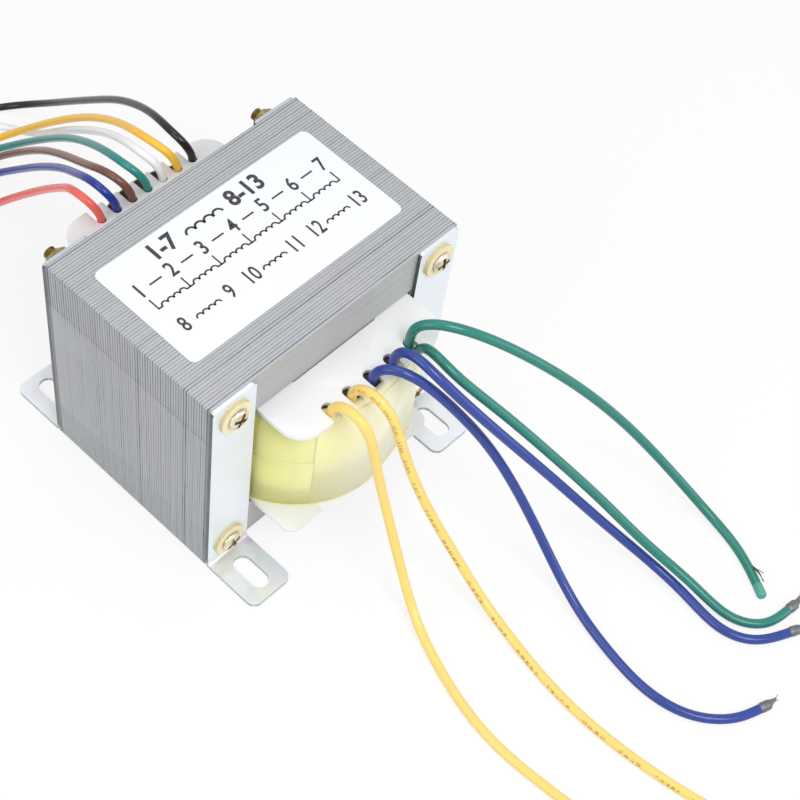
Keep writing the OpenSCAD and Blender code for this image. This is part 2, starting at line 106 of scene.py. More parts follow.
def add(tree, kind, inputs=None, **settings):
    """A node in a material or a group; an input is a value or a socket to link."""
    node = tree.nodes.new("ShaderNode" + kind)
    for name, value in settings.items():
        setattr(node, name, value)
    for name, value in (inputs or {}).items():
        put(tree, value, node.inputs[name])
    return node


def calc(tree, operation, a, b=None, clamp=False):
    """The result of one sum on one or two values or sockets."""
    inputs = {0: a} if b is None else {0: a, 1: b}
    return add(tree, "Math", inputs, operation=operation, use_clamp=clamp).outputs[0]


def times(tree, first, *factors):
    """The product of several values or sockets."""
    for factor in factors:
        first = calc(tree, "MULTIPLY", first, factor)
    return first


def rest(tree, value):
    """What is left of 1."""
    return calc(tree, "SUBTRACT", 1.0, value)


def apart(tree, value, middle):
    """How far a value is from a middle, either way."""
    return calc(tree, "ABSOLUTE", calc(tree, "SUBTRACT", value, middle))


def ramp(tree, value, low, high, out_low=0.0, out_high=1.0, soft=True):
    """A value brought from one range to another, held at both ends."""
    node = add(tree, "MapRange", {"Value": value, "From Min": low, "From Max": high,
                                  "To Min": out_low, "To Max": out_high}, clamp=True)
    if soft:
        node.interpolation_type = "SMOOTHSTEP"
    return node.outputs["Result"]


def parts(tree, vector):
    """The three parts of a place or a direction."""
    return add(tree, "SeparateXYZ", {0: vector}).outputs


def point(tree, x=0.0, y=0.0, z=0.0):
    """A place put together from three values or sockets."""
    return add(tree, "CombineXYZ", {0: x, 1: y, 2: z}).outputs[0]


def noise(tree, place, scale=1.0, detail=2.0, roughness=0.5):
    """Soft noise from 0 to 1."""
    return add(tree, "TexNoise", {"Vector": place, "Scale": scale, "Detail": detail,
                                  "Roughness": roughness}).outputs["Fac"]


def chance_for(tree, number, seed):
    """An even chance from 0 to 1 for each whole number."""
    return add(tree, "TexWhiteNoise", {"W": calc(tree, "ADD", number, seed)},
               noise_dimensions="1D").outputs["Value"]


def blended(tree, amount, first, second, mode="MIX"):
    """Two colours mixed by an amount."""
    node = add(tree, "Mix", data_type="RGBA", blend_type=mode)
    for socket, value in ((0, amount), (6, first), (7, second)):
        put(tree, value, node.inputs[socket])
    return node.outputs[2]


def rgb(red, green, blue):
    """A colour as it is seen, from 0 to 255 each, in the renderer's linear values."""
    def linear(c):
        c /= 255
        return c / 12.92 if c <= 0.04045 else ((c + 0.055) / 1.055) ** 2.4
    return (linear(red), linear(green), linear(blue), 1.0)


def finish(name, **sockets):
    """A new material, with the plain settings of its shader."""
    material = bpy.data.materials.new(name)
    material.use_nodes = True
    tree = material.node_tree
    shader = tree.nodes["Principled BSDF"]
    for socket, value in sockets.items():
        shader.inputs[socket.replace("_", " ")].default_value = value
    return material, tree, shader


def new_group(name, inputs, outputs):
    """An empty shader group with its sockets; gives the tree and its two ends."""
    group = bpy.data.node_groups.new(name, "ShaderNodeTree")
    for label, kind, value in inputs:
        socket = group.interface.new_socket(label, in_out="INPUT", socket_type="NodeSocket" + kind)
        if value is not None:
            socket.default_value = value
    for label, kind in outputs:
        group.interface.new_socket(label, in_out="OUTPUT", socket_type="NodeSocket" + kind)
    return group, group.nodes.new("NodeGroupInput").outputs, group.nodes.new("NodeGroupOutput").inputs


def use(tree, group, **inputs):
    """Places a shared group in a material and gives its outputs."""
    node = tree.nodes.new("ShaderNodeGroup")
    node.node_tree = group
    for name, value in inputs.items():
        put(tree, value, node.inputs[name])
    return node.outputs


def own_place(tree):
    """Object coordinates in millimetres."""
    here = add(tree, "TexCoord").outputs["Object"]
    return add(tree, "VectorMath", {0: here, "Scale": 1000.0}, operation="SCALE").outputs[0]


def facing(tree):
    """Which way the surface faces, in three parts."""
    return parts(tree, add(tree, "TexCoord").outputs["Normal"])


def shaded(tree, colour, *shades):
    """A colour made lighter or darker by one or more values."""
    for shade in shades:
        grey = add(tree, "CombineColor", {0: shade, 1: shade, 2: shade}).outputs[0]
        colour = blended(tree, 1.0, colour, grey, "MULTIPLY")
    return colour


def surfaced(tree, shader, colour, roughness=None):
    """Feeds the shader its colour and, where that varies, its roughness."""
    tree.links.new(colour, shader.inputs["Base Color"])
    if roughness:
        tree.links.new(roughness, shader.inputs["Roughness"])


def bumped(tree, shader, height, strength, distance=0.00005):
    """Feeds a height into the shader's normal."""
    bump = add(tree, "Bump", {"Height": height, "Strength": strength, "Distance": distance})
    tree.links.new(bump.outputs[0], shader.inputs["Normal"])


# ---- Shared shader groups ----

def unevenness(name, scale, amount, detail, roughness):
    """A group for an uneven surface: a brightness near 1, and a height for a bump."""
    group, given, result = new_group(
        name,
        [("Place", "Vector", None), ("Scale", "Float", scale), ("Amount", "Float", amount)],
        [("Shade", "Float"), ("Height", "Float")])
    height = noise(group, given["Place"], given["Scale"], detail, roughness)
    lift = times(group, calc(group, "SUBTRACT", height, 0.5), given["Amount"], 2.0)
    group.links.new(calc(group, "ADD", lift, 1.0), result["Shade"])
    group.links.new(height, result["Height"])
    return group


def plating_tints():
    """The thin colour films of a passivated plating: soft patches between three tints."""
    group, given, result = new_group(
        "plating_tints",
        [("Place", "Vector", None), ("Scale", "Float", 0.06), ("Base", "Color", None),
         ("Warm", "Color", None), ("Cool", "Color", None), ("Amount", "Float", 0.5)],
        [("Color", "Color")])
    elsewhere = add(group, "Mapping", {"Vector": given["Place"], "Location": (31, 17, 5)}).outputs[0]
    first = noise(group, given["Place"], given["Scale"])
    second = noise(group, elsewhere, given["Scale"])
    warm = times(group, ramp(group, first, 0.48, 0.7), given["Amount"])
    cool = times(group, ramp(group, second, 0.5, 0.72), given["Amount"])
    colour = blended(group, warm, given["Base"], given["Warm"])
    group.links.new(blended(group, cool, colour, given["Cool"]), result["Color"])
    return group


# Broad cloudiness, the films of a plating, and the fine speckle of plastic or fibre
MOTTLE = unevenness("broad_mottle", 0.1, 0.05, 4.0, 0.55)
TINTS = plating_tints()
GRAIN = unevenness("fine_grain", 2.0, 0.04, 3.0, 0.7)


# ---- Materials ----

def stack_lines(tree, place, side):
    """The gaps between sheets, as dark lines. Gives the lines, each gap's chance and the sheet's number."""
    x, y, z = parts(tree, place)
    stack = calc(tree, "DIVIDE", calc(tree, "ADD", x, HALF_STACK), SHEET)
    gap = calc(tree, "ROUND", stack)
    # Every second gap stands open, where the longer sheets meet; the others are closed
    closed = calc(tree, "PINGPONG", gap, 1.0)
    chance = chance_for(tree, gap, 0.37)
    depth = calc(tree, "ADD", times(tree, rest(tree, closed), ramp(tree, chance, 0, 1, 0.6, 1.0, soft=False)),
                 times(tree, closed, chance, 0.12))
    # A gap comes and goes along its sheet
    along = point(tree, times(tree, gap, 3.7), times(tree, y, 0.045), times(tree, z, 0.06))
    depth = times(tree, depth, ramp(tree, noise(tree, along), 0.3, 0.6, 0.6, 1.0))
    wide = calc(tree, "ADD", 0.27, times(tree, calc(tree, "POWER", chance, 4.0), 0.22))
    inside = calc(tree, "SUBTRACT", wide, apart(tree, stack, gap))
    line = times(tree, calc(tree, "MULTIPLY", inside, 5.0, clamp=True), depth)
    line = times(tree, line, calc(tree, "ADD", 0.72, times(tree, side, 0.28)))
    # Varnish has run over the back of the left side and filled the gaps there
    pool = times(tree, noise(tree, place, 0.035), 40.0)
    run = times(tree, ramp(tree, calc(tree, "ADD", x, pool), -6.0, 6.0, 1.0, 0.0),
                ramp(tree, y, CORE_LOW.y + 1, CORE_LOW.y, 0.0, 0.75), ramp(tree, z, 58.0, 66.0, 1.0, 0.0))
    return times(tree, line, rest(tree, run)), chance, calc(tree, "FLOOR", stack)


def joint_dots(tree, z, sheet, side, chance):
    """The joints between E and I, as faint dots on every second sheet."""
    odd = calc(tree, "PINGPONG", sheet, 1.0)
    high = ramp(tree, apart(tree, z, JOINT_HIGH), 0.15, 0.6, 1.0, 0.0)
    low = ramp(tree, apart(tree, z, JOINT_LOW), 0.15, 0.6, 1.0, 0.0)
    either = calc(tree, "ADD", times(tree, high, rest(tree, odd)), times(tree, low, odd))
    return times(tree, either, side, chance, 0.32)


def lamination_steel():
    """Silicon steel sheet: lined edges on top and sides, a rolled face at both ends."""
    material, tree, shader = finish("lamination_steel", Metallic=0.3, Roughness=0.5)
    place = own_place(tree)
    x, y, z = parts(tree, place)
    off_middle = calc(tree, "ABSOLUTE", y)
    side = ramp(tree, off_middle, CORE_HIGH.y - 1.0, CORE_HIGH.y - 0.2)
    line, chance, sheet = stack_lines(tree, place, side)
    joint = joint_dots(tree, z, sheet, side, chance)
    # The shadowed seam where the feet close on the outermost sheets
    seam = ramp(tree, calc(tree, "ABSOLUTE", x), HALF_STACK - 1.4, HALF_STACK - 1.0, 0.0, 0.52)
    worst = calc(tree, "MAXIMUM", calc(tree, "MAXIMUM", line, joint), times(tree, seam, side))
    # Each sheet has its own tone, with a fine tooth along its cut edge
    tone = ramp(tree, chance_for(tree, sheet, 0.3), 0, 1, 0.965, 1.035, soft=False)
    tooth = noise(tree, point(tree, times(tree, sheet, 5.3), times(tree, y, 1.1), times(tree, z, 1.1)))
    mottle = use(tree, MOTTLE, Place=place, Scale=0.05, Amount=0.05)
    grey = use(tree, TINTS, Place=place, Scale=0.03, Base=rgb(178, 181, 185),
               Warm=rgb(181, 179, 186), Cool=rgb(173, 181, 184), Amount=0.6)["Color"]
    # The last factor makes the side faces a little darker than the top, as painted shade
    edges = shaded(tree, grey, mottle["Shade"], tone, ramp(tree, tooth, 0.3, 0.7, 0.96, 1.03),
                   rest(tree, times(tree, worst, 0.86)),
                   ramp(tree, off_middle, CORE_HIGH.y - 0.8, CORE_HIGH.y - 0.1, 1.0, 0.96))
    # The rolled face
    rolled = noise(tree, point(tree, x, times(tree, y, 0.03), times(tree, z, 1.3)), detail=5.0)
    face = shaded(tree, rgb(182, 183, 183), ramp(tree, rolled, 0.3, 0.7, 0.95, 1.04), mottle["Shade"])
    is_face = ramp(tree, calc(tree, "ABSOLUTE", facing(tree)[0]), 0.4, 0.6)
    edge_rough = calc(tree, "ADD", times(tree, line, 0.3), 0.46)
    rough = calc(tree, "SUBTRACT", edge_rough, times(tree, is_face, 0.08))
    surfaced(tree, shader, blended(tree, is_face, edges, face), rough)
    bumped(tree, shader, times(tree, rest(tree, line), rest(tree, is_face)), 0.25)
    return material


def sheared_edges(tree, x, z):
    """Where a foot is sheared: the upright's sides and top, and the walls of the sole and its slot."""
    nx, ny, nz = facing(tree)
    sideways = ramp(tree, calc(tree, "ABSOLUTE", ny), 0.55, 0.85)
    endways = times(tree, ramp(tree, calc(tree, "ABSOLUTE", nx), 0.55, 0.85),
                    ramp(tree, z, 1.25, 1.6, 1.0, 0.0))
    topmost = times(tree, ramp(tree, nz, 0.6, 0.9), ramp(tree, z, 60.0, 70.0),
                    ramp(tree, x, -5.0, 5.0, 0.45, 0.15))
    return calc(tree, "MAXIMUM", calc(tree, "MAXIMUM", sideways, endways), topmost)


def zinc_plate():
    """Bright zinc on the feet: bluish white, with lilac and green films near the bend."""
    material, tree, shader = finish("zinc_plate", Metallic=0.5, Roughness=0.36)
    place = own_place(tree)
    x, _, z = parts(tree, place)
    plain = use(tree, TINTS, Place=place, Scale=0.04, Base=rgb(234, 240, 246),
                Warm=rgb(231, 234, 243), Cool=rgb(228, 238, 242), Amount=0.5)["Color"]
    # The films are strongest on the sole, near the bend
    filmed = use(tree, TINTS, Place=place, Scale=0.11, Base=rgb(226, 231, 233),
                 Warm=rgb(214, 202, 220), Cool=rgb(208, 222, 224), Amount=0.85)["Color"]
    near_bend = times(tree, ramp(tree, z, 3.0, 7.0, 1.0, 0.0),
                      ramp(tree, calc(tree, "ABSOLUTE", x), 38.0, 52.0, 1.0, 0.35))
    mottle = use(tree, MOTTLE, Place=place, Scale=0.09, Amount=0.03)
    grain = use(tree, GRAIN, Place=place, Scale=0.9, Amount=0.02)
    bright = shaded(tree, blended(tree, near_bend, plain, filmed), mottle["Shade"], grain["Shade"])
    # Bare grey metal at the shear, torn a little, and much darker up the upright as painted shade
    tear = ramp(tree, noise(tree, place, 1.1, 3.0), 0.3, 0.7, 0.82, 1.15)
    upright_shade = ramp(tree, z, 1.4, 4.0)
    grey = shaded(tree, blended(tree, upright_shade, rgb(172, 176, 180), rgb(92, 97, 102)), tear)
    surfaced(tree, shader, blended(tree, sheared_edges(tree, x, z), bright, grey),
             ramp(tree, mottle["Height"], 0.3, 0.7, 0.3, 0.42))
    bumped(tree, shader, mottle["Height"], 0.1)
    return material


def yellow_plate(name, base, deep, pale):
    """Yellow-passivated zinc on screws and nuts, with painted shade where it meets a washer."""
    material, tree, shader = finish(name, Metallic=0.85, Roughness=0.3)
    place = own_place(tree)
    tinted = use(tree, TINTS, Place=place, Scale=0.35, Base=base, Warm=deep, Cool=pale, Amount=0.9)["Color"]
    grain = use(tree, GRAIN, Place=place, Scale=1.6, Amount=0.1)
    off_core = calc(tree, "ABSOLUTE", parts(tree, place)[0])
    # Painted shade: where the head or the nut meets its washer, the colour falls to less than half
    contact_shade = ramp(tree, off_core, HEAD_SEAT + 0.05, HEAD_SEAT + 0.6, 0.45, 1.0)
    surfaced(tree, shader, shaded(tree, tinted, grain["Shade"], contact_shade),
             ramp(tree, grain["Height"], 0.3, 0.7, 0.24, 0.38))
    bumped(tree, shader, grain["Height"], 0.12)
    return material


def recess_dirt():
    """Painted shade on the floor and walls of a screw's cross recess."""
    material, tree, shader = finish("recess_dirt", Metallic=0.6, Roughness=0.55)
    grain = use(tree, GRAIN, Place=own_place(tree), Scale=2.2, Amount=0.25)
    # Painted shade: the recess is coloured dark
    surfaced(tree, shader, shaded(tree, rgb(112, 98, 66), grain["Shade"]))
    bumped(tree, shader, grain["Height"], 0.2)
    return material


def washer_fibre():
    """Pale tan pressed fibre, with painted shade on the rim."""
    material, tree, shader = finish("washer_fibre", Roughness=0.6)
    place = own_place(tree)
    mottle = use(tree, MOTTLE, Place=place, Scale=0.3, Amount=0.06)
    grain = use(tree, GRAIN, Place=place, Scale=2.6, Amount=0.08)
    # Painted shade on the rim faces, which are darker than the flat faces
    rim_shade = ramp(tree, calc(tree, "ABSOLUTE", facing(tree)[0]), 0.2, 0.8, 1.0, 0.0)
    colour = blended(tree, rim_shade, rgb(238, 226, 190), rgb(210, 194, 144))
    surfaced(tree, shader, shaded(tree, colour, mottle["Shade"], grain["Shade"]))
    bumped(tree, shader, grain["Height"], 0.2)
    return material


def bobbin_nylon():
    """Milky moulded nylon."""
    material, tree, shader = finish("bobbin_nylon", Roughness=0.42)
    place = own_place(tree)
    mottle = use(tree, MOTTLE, Place=place, Scale=0.06, Amount=0.02)
    grain = use(tree, GRAIN, Place=place, Scale=1.4, Amount=0.012)
    tinted = use(tree, TINTS, Place=place, Scale=0.04, Base=rgb(233, 234, 235),
                 Warm=rgb(233, 232, 231), Cool=rgb(228, 231, 234), Amount=0.6)["Color"]
    surfaced(tree, shader, shaded(tree, tinted, mottle["Shade"], grain["Shade"]),
             ramp(tree, mottle["Height"], 0.3, 0.7, 0.36, 0.5))
    bumped(tree, shader, grain["Height"], 0.06)
    return material


def tape_film(name, yellow, cream, gloss=0.36):
    """Polyester tape: faint wrinkles with a touch of painted shade, and a colour that goes from the first to
    the second across Y; on the coil that is partly doubled tape and partly painted shade on the -Y side and
    painted light on the +Y side.
    """
    material, tree, shader = finish(name, Roughness=gloss, Coat_Weight=0.15, Coat_Roughness=0.2)
    place = own_place(tree)
    x, y, z = parts(tree, place)
    mottle = use(tree, MOTTLE, Place=place, Scale=0.07, Amount=0.03)
    stretched = point(tree, times(tree, x, 0.25), times(tree, y, 0.25), times(tree, z, 0.04))
    wrinkle = noise(tree, stretched, detail=3.0)
    # Painted light and shade: darker yellow towards -Y and cream towards +Y, partly also the doubled tape
    # there
    doubled_and_lit = calc(tree, "ADD", y, times(tree, wrinkle, 8.0))
    colour = blended(tree, ramp(tree, doubled_and_lit, -28.0, 6.0), yellow, cream)
    # The wrinkles darken the colour slightly, as painted shade
    surfaced(tree, shader, shaded(tree, colour, mottle["Shade"], ramp(tree, wrinkle, 0.4, 0.75, 1.01, 0.96)),
             ramp(tree, wrinkle, 0.3, 0.7, gloss - 0.06, gloss + 0.1))
    bumped(tree, shader, wrinkle, 0.25, 0.0002)
    return material


def enamelled_copper():
    """Dark varnished turns of wire, seen as fine level lines of painted shade; the dark brown is partly
    varnish and partly painted shade in the notches.
    """
    material, tree, shader = finish("enamelled_copper", Metallic=0.4, Roughness=0.4)
    place = own_place(tree)
    turn = calc(tree, "PINGPONG", times(tree, parts(tree, place)[2], 1.4), 0.5)
    mottle = use(tree, MOTTLE, Place=place, Scale=0.2, Amount=0.15)
    # Painted shade and light across each turn, from half to a little over full brightness
    turn_shade = ramp(tree, turn, 0.0, 0.4, 0.5, 1.1)
    surfaced(tree, shader, shaded(tree, rgb(62, 38, 28), turn_shade, mottle["Shade"]))
    bumped(tree, shader, turn, 0.5, 0.0002)
    return material


def label_film():
    """Matt white label film."""
    material, tree, shader = finish("label_film", Roughness=0.48)
    place = own_place(tree)
    mottle = use(tree, MOTTLE, Place=place, Scale=0.04, Amount=0.008)
    grain = use(tree, GRAIN, Place=place, Scale=3.0, Amount=0.008)
    surfaced(tree, shader, shaded(tree, rgb(236, 238, 241), mottle["Shade"], grain["Shade"]))
    bumped(tree, shader, grain["Height"], 0.04)
    return material


def print_ink():
    """Thin black thermal print, slightly uneven."""
    material, tree, shader = finish("label_ink", Roughness=0.6)
    worn = ramp(tree, noise(tree, own_place(tree), 2.2), 0.35, 0.75)
    surfaced(tree, shader, blended(tree, worn, rgb(34, 35, 40), rgb(70, 72, 78)))
    return material


def tinned_metal():
    """Solder-dipped copper, dull grey and a little uneven."""
    material, tree, shader = finish("tinned_metal", Metallic=0.6, Roughness=0.42)
    mottle = use(tree, MOTTLE, Place=own_place(tree), Scale=0.6, Amount=0.16)
    surfaced(tree, shader, shaded(tree, rgb(112, 113, 117), mottle["Shade"]))
    bumped(tree, shader, mottle["Height"], 0.35)
    return material


def print_ticks(tree, at):
    """A row of small illegible marks along a lead, in words, at one place round it."""
    along, around, _ = parts(tree, add(tree, "TexCoord").outputs["UV"])
    marks = noise(tree, point(tree, times(tree, along, 340.0), times(tree, around, 26.0), 0.5), detail=1.0)
    letter = calc(tree, "PINGPONG", times(tree, along, 125.0), 0.5)
    uneven = calc(tree, "SUBTRACT", noise(tree, point(tree, times(tree, along, 17.0))), 0.5)
    word = calc(tree, "ADD", calc(tree, "PINGPONG", times(tree, along, 20.0), 0.5), times(tree, uneven, 0.4))
    band = ramp(tree, apart(tree, around, at), 0.045, 0.065, 1.0, 0.0)
    return times(tree, ramp(tree, marks, 0.42, 0.5), ramp(tree, letter, 0.1, 0.18), band,
                 ramp(tree, word, 0.14, 0.18))


def lead_pvc(name, colour, ink=None, shine=0.19):
    """PVC insulation: glossy and a little uneven, and where it has ink, with a row of print."""
    material, tree, shader = finish(name, Roughness=shine, Specular_IOR_Level=0.42)
    place = own_place(tree)
    mottle = use(tree, MOTTLE, Place=place, Scale=0.05, Amount=0.04)
    grain = use(tree, GRAIN, Place=place, Scale=0.5, Amount=0.008)
    shade = shaded(tree, colour, mottle["Shade"], grain["Shade"])
    if ink:
        tint, at, strength = ink
        shade = blended(tree, times(tree, print_ticks(tree, at), strength), shade, tint)
    surfaced(tree, shader, shade, ramp(tree, grain["Height"], 0.3, 0.7, shine - 0.03, shine + 0.04))
    bumped(tree, shader, mottle["Height"], 0.05)
    return material


def seen_straight(tree):
    """1 for what the camera sees directly or in metal and glass, and 0 for light on the object."""
    rays = add(tree, "LightPath").outputs
    mirrored = calc(tree, "MAXIMUM", rays["Is Glossy Ray"], rays["Is Transmission Ray"])
    return calc(tree, "MAXIMUM", rays["Is Camera Ray"], mirrored)


def floor_paper():
    """White ground: shown white, and darkened a little by the object's shadow."""
    material, tree, shader = finish("floor_paper", Base_Color=(0.9, 0.9, 0.9, 1), Roughness=0.9)
    white = add(tree, "Emission", {"Color": (1, 1, 1, 1), "Strength": 1.0}).outputs[0]
    share = times(tree, seen_straight(tree), 0.8)
    mix = add(tree, "MixShader", {0: share, 1: shader.outputs[0], 2: white})
    tree.links.new(mix.outputs[0], tree.nodes["Material Output"].inputs["Surface"])
    return material


# ---- Building blocks of pieces ----

def verts_of(result):
    """The vertices among what an operator gives back."""
    return [g for g in result if isinstance(g, bmesh.types.BMVert)]


def edges_of(result):
    """The edges among what an operator gives back."""
    return [g for g in result if isinstance(g, bmesh.types.BMEdge)]


def drawn_on(bm, tips, x, y, z):
    """Draws a chain of edges on by one step; gives its new end."""
    tips = bmesh.ops.extrude_vert_indiv(bm, verts=tips)["verts"]
    bmesh.ops.translate(bm, vec=(x, y, z), verts=tips)
    return tips


def spun_round(bm, tips, steps):
    """Closes a profile's crown on the Z axis, and turns the profile into a round body."""
    bmesh.ops.translate(bm, vec=(-tips[0].co.x, 0, 0), verts=tips)
    bmesh.ops.spin(bm, geom=bm.verts[:] + bm.edges[:], cent=(0, 0, 0), axis=(0, 0, 1),
                   angle=2 * math.pi, steps=steps, use_merge=True)
    bmesh.ops.remove_doubles(bm, verts=bm.verts, dist=0.001)


def placed(name, data):
    """Puts a mesh or curve in the scene, riding on the core."""
    piece = bpy.data.objects.new(name, data)
    bpy.context.scene.collection.objects.link(piece)
    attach(piece, "root")
    return piece


def piece_from(bm, name, material, soft_angle=35):
    """Makes a piece of a bmesh in millimetres."""
    bmesh.ops.scale(bm, vec=(MM, MM, MM), verts=bm.verts)
    mesh = bpy.data.meshes.new(name)
    bm.to_mesh(mesh)
    bm.free()
    mesh.shade_smooth()
    mesh.set_sharp_from_angle(angle=math.radians(soft_angle))
    mesh.materials.append(material)
    return placed(name, mesh)


def softened(node, name, material, width, segments=2):
    """A copy of a CAD part with its triangles joined up and its edges rounded."""
    bm = bmesh.new()
    bm.from_mesh(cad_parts[node].data)
    bmesh.ops.remove_doubles(bm, verts=bm.verts, dist=2e-6)
    bmesh.ops.dissolve_limit(bm, angle_limit=math.radians(0.5), verts=bm.verts, edges=bm.edges)
    bmesh.ops.triangulate(bm, faces=bm.faces)
    bmesh.ops.scale(bm, vec=(1 / MM,) * 3, verts=bm.verts)
    piece = piece_from(bm, name, material)
    bevel = piece.modifiers.new("edges", "BEVEL")
    bevel.width, bevel.segments = width * MM, segments
    bevel.limit_method, bevel.angle_limit = "ANGLE", math.radians(30)
    bevel.harden_normals = True
    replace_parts(piece, node)


def paint(node, material):
    """Gives a CAD part its finish."""
    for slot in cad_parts[node].material_slots:
        slot.material = material


# ---- Leads ----

# Control points of each lead from its notch to its end, in millimetres
FRONT_YELLOW_1 = [
    (46.5, -15.4, 62.85), (46.6, -15.4, 66), (49.8, -15.3, 70.2),
    (55.4, -15, 70.8), (59.8, -14.6, 67.2), (61.4, -14, 61.2), (62.4, -12.8, 53.6),
    (64.6, -11.4, 42), (70, -11, 27.5), (78.5, -12.6, 12.5),
    (90, -17, 2.2), (104, -22.5, 1.5), (119, -27, 1.5), (134, -29, 1.5),
    (148, -28, 1.5), (160, -27, 1.5), (172, -25, 1.5), (184, -22, 1.5)]
FRONT_YELLOW_2 = [
    (46.5, -7.2, 62.85), (46.6, -7.2, 66), (49.6, -7.1, 70.4),
    (55.2, -6.8, 71.4), (60.2, -6.2, 68), (62.6, -5.4, 62),
    (65.4, -4.6, 54), (69.6, -3.4, 43.5), (76, -1.4, 31), (86, 1, 17.5),
    (99, 2, 4.5), (114, 0, 1.5), (130, -3, 1.5), (146, -4, 1.5),
    (162, -3, 1.5), (176, -1, 1.5), (190, 2, 1.5), (203, 6, 1.5)]
FRONT_BLUE_1 = [
    (46.5, 1, 62.85), (46.5, 1, 66), (48.6, 2.2, 70), (53.4, 4.4, 71.4),
    (58.2, 7.4, 69), (62.6, 11, 63.6), (69, 15.4, 55.6), (78, 20.4, 44.4),
    (90, 23.8, 28.6), (104, 25, 11), (120, 22, 1.5),
    (137, 18, 1.5), (152, 16, 1.5), (166, 19, 1.5), (176, 28, 1.5),
    (179, 37, 1.5)]
FRONT_BLUE_2 = [
    (46.5, 9.2, 62.85), (46.5, 9.2, 66), (48.1, 9.6, 71), (53.2, 9.6, 73.7),
    (60.4, 10, 72.2), (68, 12.9, 66), (80, 19.6, 54.4), (94, 30.6, 36.6),
    (109, 41.8, 17.2), (124, 50, 4.2), (139, 51, 1.5), (154, 48, 1.5),
    (165, 53, 1.5), (170, 64, 1.5)]
FRONT_GREEN_1 = [
    (45, 17.4, 62.85), (45, 17.4, 67), (46, 17, 73), (50, 19, 77),
    (57, 24, 77), (67, 34, 70), (81, 50, 53), (95, 65, 32), (110, 75, 13),
    (126, 79, 1.5), (142, 76, 1.5), (156, 68, 1.5)]
FRONT_GREEN_2 = [
    (48.3, 17.4, 62.85), (49, 17.4, 65.6), (51.6, 16.6, 69.6), (57, 15.4, 71.4),
    (65, 16.2, 68), (77, 24, 57), (91, 33, 42), (106, 43, 25), (122, 50, 10),
    (139, 54, 4), (154, 53, 1.5), (164, 60, 1.5), (165, 70, 1.5)]
REAR_BLACK = [
    (-45.5, 18.85, 62.85), (-45.5, 18.85, 66), (-47, 17, 71), (-52, 16, 73),
    (-60, 18, 71), (-71, 22, 64), (-86, 26, 53), (-101, 29, 39),
    (-117, 32, 24), (-132, 34, 10), (-145, 31, 1.25), (-152, 19, 1.25),
    (-156, 6, 1.25), (-159, -7, 1.25)]
REAR_YELLOW = [
    (-45.5, 12.9, 62.85), (-45.5, 12.9, 66), (-47, 11, 71), (-52, 9, 73),
    (-61, 10, 70), (-74, 14, 61), (-89, 17, 49), (-105, 19, 34),
    (-119, 19, 20), (-131, 17, 8), (-139, 10, 1.5), (-144, -1, 1.25),
    (-148, -13, 1.25), (-150, -25, 1.25)]
REAR_WHITE = [
    (-45.5, 6.95, 62.85), (-45.5, 6.95, 66), (-47, 5.4, 71), (-51.8, 3.6, 73),
    (-59.8, 5, 70), (-72, 9, 61), (-88, 13.4, 46.4), (-104, 17.6, 30.6),
    (-119, 22, 14), (-132, 24, 1.8), (-142, 20, 1.25), (-149, 10, 1.25),
    (-153, -2, 1.25)]
REAR_GREEN = [
    (-45.5, 1, 62.85), (-45.5, 1, 66), (-47, -1, 71), (-52, -3, 73),
    (-61, -1, 69), (-75, 3, 59), (-90, 7, 46), (-106, 10, 30),
    (-121, 11, 15), (-134, 8, 3), (-140, -2, 1.25), (-144, -14, 1.25),
    (-146, -26, 1.25)]
REAR_BROWN = [
    (-45.5, -4.95, 62.85), (-45.5, -5, 66), (-46.6, -6.6, 70.6),
    (-51, -8.4, 72.8), (-56.5, -8.6, 71), (-64, -6.8, 65), (-76, -3.4, 56),
    (-90, 0, 45), (-106, 4, 29),
    (-121, 5, 14), (-132, 2, 3), (-137, -9, 1.25), (-140, -21, 1.25),
    (-142, -33, 1.25)]
REAR_BLUE = [
    (-45.5, -10.9, 62.85), (-45.5, -11, 66), (-46.6, -12.6, 70.4),
    (-51, -13.8, 72.6), (-56.5, -13.2, 70.6), (-63.4, -11, 64.6),
    (-74, -7.6, 56), (-88, -5, 43), (-103, -2, 27),
    (-118, -1, 12), (-129, -6, 2), (-134, -17, 1.25), (-137, -29, 1.25),
    (-139, -41, 1.25)]
REAR_RED = [
    (-45.5, -16.85, 62.85), (-45.5, -17, 66), (-46.9, -18.6, 70.4),
    (-51.2, -19.8, 72.4), (-56.8, -19, 70), (-62.4, -17, 63.6),
    (-71.6, -14.8, 54), (-85, -13, 39),
    (-100, -12, 22), (-113, -15, 7), (-123, -25, 1.25), (-128, -37, 1.25),
    (-131, -50, 1.25)]


def led(route):
    """The route with one more point past each end, so that the curve reaches both."""
    points = [Vector(p) for p in route]
    return [2 * points[0] - points[1]] + points + [2 * points[-1] - points[-2]]


def lead_curve(name, route, diameter, material):
    """The insulation, on one smooth curve through the route."""
    curve = bpy.data.curves.new(name, "CURVE")
    curve.dimensions = "3D"
    curve.bevel_depth, curve.bevel_resolution = diameter / 2 * MM, 5
    curve.resolution_u, curve.use_fill_caps = 7, True
    spline = curve.splines.new("NURBS")
    points = led(route)
    spline.points.add(len(points) - 1)
    for spot, place in zip(spline.points, points):
        spot.co = (*(place * MM), 1)
    spline.order_u, spline.use_endpoint_u, spline.use_smooth = 4, False, True
    curve.materials.append(material)
    return placed(name, curve)


